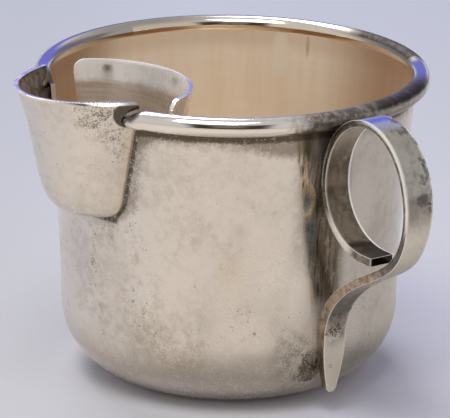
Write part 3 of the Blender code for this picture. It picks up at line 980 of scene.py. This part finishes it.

# %% [markdown]
# ## Spout
# The spout is worn like the bowl. The grid it was made from still has its flat layout as a UV map, so
# the dirt along its side edges, the dirt and painted shade at its foot, and the bright lip are drawn by
# how near a point is to the edge of the layout. The lip is rubbed bright and painted brighter as a
# highlight, and round each notch the spout is painted dark as shade. Inside it is dark brown: tarnish
# where no cloth reaches, and painted shade in the pouch.

# %% Finish of the spout
def spout_silver():
    finish = Finish("spout_silver")
    cloud = noise(finish.at, 0.08, 5.0, 0.6)
    fleck = noise(finish.at, 0.55, 5.0, 0.68)
    ragged = fleck * 0.5 + noise(finish.at, 2.4, 3.0, 0.7) * 0.5
    dull = ramp(cloud * 0.5 + fleck * 0.5, 0.42, 0.66)
    # Painted shade round each notch, where the wire goes into the dark of the spout.
    notch = finish.spot(14.9, -33.6, 59.4, 3.3) + finish.spot(-14.9, -33.6, 59.4, 3.3)
    crowd = finish.spot(11.5, -37.5, 59.2, 7.5) * 2.4 + finish.spot(14.6, -33.4, 53.0, 8.0)
    pit = pits(finish, crowd)
    edge = ramp(finish.across + ragged * 0.04, 0.985, 1.01)
    # Dirt and painted shade along the foot, where the spout meets the wall.
    foot = fade(finish.v + ragged * 0.10, 0.10, 0.22)
    lip = ramp(finish.v, 0.988, 0.994)
    colour = blend(dull, SILVER, DULL)
    colour = blend(ramp(crowd, 0.2, 1.2) * ramp(ragged, 0.46, 0.60) * 0.7, colour, (0.30, 0.245, 0.18))
    colour = blend(ramp(finish.across, 0.86, 1.0) * 0.5, colour, (0.62, 0.50, 0.35))
    colour = blend(edge * 0.6, colour, DIRT_AND_SHADE)
    colour = blend(foot * 0.7, colour, DIRT_AND_SHADE)
    colour = blend(ramp(notch + ragged * 0.1, 0.10, 0.20) * 0.95, colour, (0.075, 0.064, 0.05))
    colour = blend(pit * 0.65, colour, DIRT_AND_SHADE)
    # The lip is rubbed bright and painted brighter still as a highlight, fading to dull on the right.
    lip_tone = blend(ramp(finish.x, 3.0, 10.0), (0.90, 0.87, 0.83), DULL)
    colour = blend(lip * 0.85, colour, lip_tone)
    rough = 0.22 + dull * 0.09 + pit * 0.25
    return finish.done(colour, rough, noise(finish.at, 0.07, 2.0, 0.5) - pit * 0.06, 0.3)


def spout_lining():
    finish = Finish("spout_lining")
    cloud = noise(finish.at, 0.5, 5.0, 0.68)
    finish.shader.inputs["Metallic"].default_value = 0.3
    # Dark brown tarnish and painted shade inside the pouch, darker still near the notch as shade.
    colour = blend(ramp(cloud, 0.40, 0.60), (0.085, 0.062, 0.048), (0.25, 0.185, 0.135))
    colour = blend(ramp(finish.spot(14.6, -33.2, 59.4, 5.0), 0.1, 0.4), colour, DIRT_AND_SHADE)
    return finish.done(colour, 0.36 + cloud * 0.15, noise(finish.at, 0.3, 3.0, 0.5), 0.08)


dress(spout, "spout_shell", "spout_silver", spout_silver(), spout_lining())

# %% [markdown]
# ## Handle
# Fingers polish the edges of the strip and leave its faces dull, and its inside brown. The modifiers
# that made the strip put its outside, inside, sides, bevelled edges and free end on five slots, so each
# can have its own wear and painted light. The bevelled edges and parts of the sides are painted near
# white as highlights, and a painted blue reflection of the sky lies on top of the loop. Painted shade
# darkens the lower inside of the loop and the outer face of the strut. The cut face of the free end is
# painted nearly black, as shade.

# %% Finish of the handle
LOOP_MARKS = (
    (58.4, 1.2, 52.6, 2.2),
    (59.3, 0.8, 48.8, 3.0),
    (57.8, 2.6, 54.0, 2.2),
    (52.1, 1.4, 60.0, 3.0),
)


def handle_silver(name, bright, dull_tone, level, metallic, shade=0.0):
    """Worn silver between two tones, with painted shade, highlights and reflections, and blots and pits
    where the level is high.
    """
    finish = Finish(name)
    rubbed = ramp(finish.across, 0.82, 0.92)
    # A painted highlight: a white line along the far edge of the inside of the loop.
    far_line_highlight = ramp(finish.u, 0.915, 0.940) * (1.0 - level) * ramp(finish.z, 33.0, 35.0)
    strut_back = fade(finish.z, 24.0, 30.0) * (1.0 - level)
    finish.link(metallic - rubbed * 0.5 - far_line_highlight * 0.5, "Metallic")
    cloud = noise(finish.at, 0.16, 5.0, 0.62)
    fleck = noise(finish.at, 0.7, 5.0, 0.65)
    dull = ramp(cloud * 0.6 + fleck * 0.4, 0.40, 0.60)
    # Darker towards the top of the loop: tarnish and a painted dark reflection of the sky, with light
    # flecks.
    high = ramp(finish.z + cloud * 6.0, 44.0, 56.0) * level
    belly = ramp(finish.x, 47.0, 54.0) * ramp(finish.z, 26.0, 31.0) * fade(finish.z, 41.0, 47.0) * level
    foot = fade(finish.z + fleck * 3.0, 14.0, 18.0) * level
    far_edge = ramp(finish.y, 0.4, 2.6) * ramp(finish.z, 36.0, 44.0)
    tail = finish.spot(36.5, 0.0, 17.0, 5.0)
    # Painted shade on the outer face of the strut, which faces down.
    slate = ramp(finish.z, 17.0, 20.0) * fade(finish.z, 25.0, 30.0) * level
    worn = far_edge * level
    pit = pits(finish, worn + tail * level * 3.2 + ramp(cloud, 0.5, 0.7) * level)
    blot = ramp(noise(finish.at, 0.35, 3.0, 0.6) + worn * 0.07, 0.64, 0.71) * level
    for mark in LOOP_MARKS:
        blot = blot + ramp(finish.spot(*mark) * 0.4 + fleck, 0.70, 0.86) * level
    colour = blend(dull, bright, dull_tone)
    colour = blend(high * 0.5 + slate * 0.42, colour, (0.22, 0.208, 0.195))
    colour = blend(high * ramp(cloud, 0.46, 0.62) * 0.45, colour, (0.68, 0.64, 0.585))
    colour = blend(belly * 0.8 + foot * 0.95, colour, (0.86, 0.82, 0.77))
    colour = blend(rubbed * 0.6, colour, (0.82, 0.78, 0.72))
    # A painted blue reflection of the sky on top of the loop.
    painted_sky_reflection = ramp(finish.z + fleck * 0.6, 60.4, 61.7) * level
    colour = blend(painted_sky_reflection * 0.65, colour, (0.42, 0.48, 1.0))
    # Painted shade low inside the loop, and painted light towards the top of the inside.
    painted_inside_shade = fade(finish.z, 44.0, 54.0) * (1.0 - level) * shade
    colour = blend(painted_inside_shade, colour, (0.08, 0.064, 0.048))
    colour = blend(ramp(finish.z, 50.0, 57.0) * shade, colour, (0.55, 0.48, 0.40))
    colour = blend(strut_back * 0.9, colour, (0.70, 0.63, 0.55))
    colour = blend(far_line_highlight * 0.95, colour, (1.0, 0.99, 0.96))
    colour = blend(blot * 0.75, colour, (0.13, 0.125, 0.12))
    colour = blend(pit * 0.85, colour, DIRT_AND_SHADE)
    rough = 0.16 + dull * 0.10 + pit * 0.2
    return finish.done(colour, rough, noise(finish.at, 0.12, 2.0, 0.5) - pit * 0.08, 0.15)


def handle_sides():
    finish = Finish("handle_sides")
    fleck = noise(finish.at, 0.7, 5.0, 0.65)
    off = (finish.x - LOOP_MIDDLE) / (LOOP_HALF - STRIP_THICK / 2)
    rise = (finish.z - LOOP_HEIGHT) / (LOOP_ABOVE - STRIP_THICK / 2)
    ratio = finish.x.math("SQRT", off * off + rise * rise)
    # Painted highlights: white lines along the outer edges of the loop and low on its left.
    left = ramp(ratio, 1.0, 1.02) * ramp(finish.z, 44.0, 47.0) * fade(finish.z, 51.0, 57.0)
    left = left * fade(finish.x, 39.0, 45.0)
    right = ramp(ratio, 0.985, 1.02) * ramp(finish.x, 43.0, 50.0) * ramp(finish.z, 41.0, 46.0)
    under = ramp(finish.x, 48.0, 52.0) * ramp(finish.z, 33.0, 36.0) * fade(finish.z, 41.0, 46.0)
    low_left_highlight = fade(finish.x, 42.0, 45.0) * fade(finish.z, 39.0, 43.0) * ramp(finish.z, 34.0, 35.5)
    strut = fade(finish.z, 30.0, 35.0)
    low = fade(finish.z, 10.0, 18.0)
    pit = pits(finish, strut * 1.6 * ramp(finish.z, 24.0, 28.0) - 0.4)
    colour = blend(ramp(fleck, 0.40, 0.62), (0.30, 0.265, 0.225), (0.13, 0.112, 0.09))
    # The sides of the strut are painted lighter and warmer, as lit.
    gold = blend(ramp(fleck, 0.40, 0.62), (0.60, 0.52, 0.42), (0.36, 0.29, 0.215))
    colour = blend(strut * 0.85, colour, gold)
    colour = blend(low * 0.6, colour, (0.24, 0.205, 0.17))
    colour = blend(under * 0.7, colour, (0.11, 0.10, 0.09))
    colour = blend((left * 0.5 + right + low_left_highlight) * 0.92, colour, (0.96, 0.94, 0.90))
    finish.link(1.0 - left * 0.4 - right * ramp(finish.z, 50.0, 54.0) * 0.8, "Metallic")
    colour = blend(pit * 0.8, colour, DIRT_AND_SHADE)
    rough = 0.20 + fleck * 0.12 + pit * 0.2
    return finish.done(colour, rough, noise(finish.at, 0.2, 2.0, 0.5) - pit * 0.08, 0.12)


dress(
    handle,
    "handle_strip",
    "handle_silver",
    handle_silver("handle_silver", (0.66, 0.62, 0.57), (0.34, 0.315, 0.285), 1.0, 1.0),
    handle_silver("handle_inside", (0.36, 0.29, 0.22), (0.14, 0.113, 0.085), 0.0, 1.0, 0.5),
    handle_sides(),
    # The edges are polished and painted near white, partly matt, as highlights.
    handle_silver("handle_edges", (1.0, 0.98, 0.94), (0.90, 0.86, 0.80), 0.0, 0.35),
    # The cut face of the free end is painted nearly black, as shade.
    handle_silver("handle_end", (0.06, 0.052, 0.042), (0.03, 0.026, 0.02), 0.0, 1.0),
)

# %% [markdown]
# ## The studio
# Metal shows what is around it, so the surroundings are part of its look. The floor is pale and cool
# to the camera, with painted light and shade: lighter in front and round the base, where it lifts the
# cup's shadow, a little darker on the left, and painted bluish in the shade to the right. To
# reflections it is warm in front, as a cream card there would make it, darker at the sides, cool behind
# and painted bright close under the cup, which lifts the shade there. The sky has a bright strip above
# and behind, a dark place where the photographer stands, and a blue backdrop low down behind.

# %% Floor
def along_way(at, way):
    """How far a direction or place goes along a way."""
    return vector("DOT_PRODUCT", at, way, 1)


bpy.ops.object.select_all(action="DESELECT")
bpy.ops.mesh.primitive_plane_add(size=4.0, location=(0, 0, -0.0002))
floor = named("floor")
floor_paper = bpy.data.materials.new("floor_paper")
floor_paper.use_nodes = True
paper = Shade(floor_paper.node_tree)
place = paper.node("ShaderNodeTexCoord", None, None, "Object")
flat_way = vector("NORMALIZE", place)
glossy = paper.node("ShaderNodeLightPath", None, None, "Is Glossy Ray")
nearer = along_way(place, FRONT)
# Painted light: the floor is lighter towards the front.
seen = blend(ramp(nearer, -0.30, 0.10), (0.395, 0.415, 0.51), (0.515, 0.52, 0.565))
away = vector("LENGTH", place, out=1)
# Painted light round the base, which lifts the cup's contact shadow.
shade_lift = fade(away, 0.022, 0.036) * 0.6
seen = blend(shade_lift, seen, (0.93, 0.935, 1.0))
rightwards = along_way(place, RIGHT)
# More painted light on the left near the base, against the cup's shadow.
left_painted_light = fade(away, 0.030, 0.041) * fade(rightwards, -0.025, 0.005)
seen = blend(left_painted_light * 0.15, seen, (0.80, 0.81, 0.90))
# Painted light on the shaded side, in front and to the right.
shadow_side = ramp(nearer, -0.015, 0.02) * ramp(rightwards, -0.03, 0.02)
seen = blend(shadow_side * 0.35, seen, (0.95, 0.95, 1.0))
# Painted shade: the floor is a little darker to the left.
seen = blend(fade(rightwards, -0.06, -0.01) * 0.17, seen, (0.20, 0.21, 0.23))
# A painted bluish tint in the shade to the right of the cup.
bluish = ramp(rightwards, 0.0, 0.03) * fade(away, 0.05, 0.10)
seen = blend(bluish * 0.3, seen, (0.50, 0.50, 0.76))
to_front = along_way(flat_way, FRONT)
to_right = along_way(flat_way, RIGHT)
card = blend(ramp(to_front, -0.5, 0.6), (0.50, 0.49, 0.52), (0.70, 0.645, 0.585))
card = blend(ramp(to_right, 0.55, 0.95), card, (0.44, 0.42, 0.40))
leftwards = fade(to_right, -0.95, -0.45)
card = blend(leftwards * 0.4, card, (0.52, 0.51, 0.52))
# Painted light: to reflections the floor is near white close under the cup, which lifts the shade
# there.
card = blend(fade(away, 0.024, 0.036) * 0.8, card, (1.0, 0.96, 1.0))
tone = blend(glossy, seen, card)
paper_shader = floor_paper.node_tree.nodes["Principled BSDF"]
paper_shader.inputs["Roughness"].default_value = 0.9
paper_shader.inputs["Specular IOR Level"].default_value = 0.1
floor_paper.node_tree.links.new(tone.socket, paper_shader.inputs["Base Color"])
floor.data.materials.append(floor_paper)

# %% Sky and lamp
world = bpy.context.scene.world or bpy.data.worlds.new("studio")
bpy.context.scene.world = world
world.use_nodes = True
sky = Shade(world.node_tree).node("ShaderNodeTexCoord", None, None, "Generated")
toward = vector("NORMALIZE", sky)
ahead = along_way(toward, FRONT)
aside = along_way(toward, RIGHT)
up = along_way(toward, (0.0, 0.0, 1.0))
sideways = size_of(aside)
dome = blend(ramp(up, 0.55, 0.97), (0.66, 0.65, 0.64), (0.60, 0.585, 0.57))
behind = ramp(0.0 - ahead, 0.25, 0.6)
dome = blend(behind * fade(up, 0.36, 0.52), dome, (0.18, 0.19, 0.66))
dome = blend(behind * fade(up, 0.06, 0.18), dome, (0.55, 0.56, 0.64))
corner = ramp(sideways, 0.30, 0.50) * ramp(0.0 - ahead, -0.1, 0.2) * fade(up, 0.45, 0.7)
dome = blend(corner * 0.75, dome, (0.17, 0.16, 0.155))
stand = ramp(ahead, 0.0, 0.2) * fade(sideways, 0.30, 0.44) * fade(up, 0.58, 0.72)
dome = blend(stand, dome, (0.05, 0.043, 0.036))
dome = blend(stand * fade(sideways, 0.1, 0.2) * ramp(up, 0.1, 0.3), dome, (0.20, 0.18, 0.16))
background = world.node_tree.nodes["Background"]
world.node_tree.links.new(dome.socket, background.inputs["Color"])
background.inputs["Strength"].default_value = 1.05


def soft_lamp(name, place, size, watts, colour):
    """A square soft box that looks at the cup."""
    bpy.ops.object.select_all(action="DESELECT")
    bpy.ops.object.light_add(type="AREA", location=place)
    lamp = bpy.context.object
    lamp.name = name
    lamp.data.size = size
    lamp.data.energy = watts
    lamp.data.color = colour
    lamp.rotation_euler = (Vector((0, 0, 0.03)) - Vector(place)).to_track_quat("-Z", "Y").to_euler()
    return lamp


soft_lamp("strip", FRONT * -0.42 - RIGHT * 0.22 + Vector((0, 0, 0.62)), 0.42, 3.3, (1.0, 0.98, 0.95))
soft_lamp("fill", FRONT * 0.40 - RIGHT * 0.12 + Vector((0, 0, 0.92)), 0.5, 4.4, (1.0, 0.975, 0.945))
bpy.context.scene.view_settings.view_transform = "Standard"
print("studio ready")
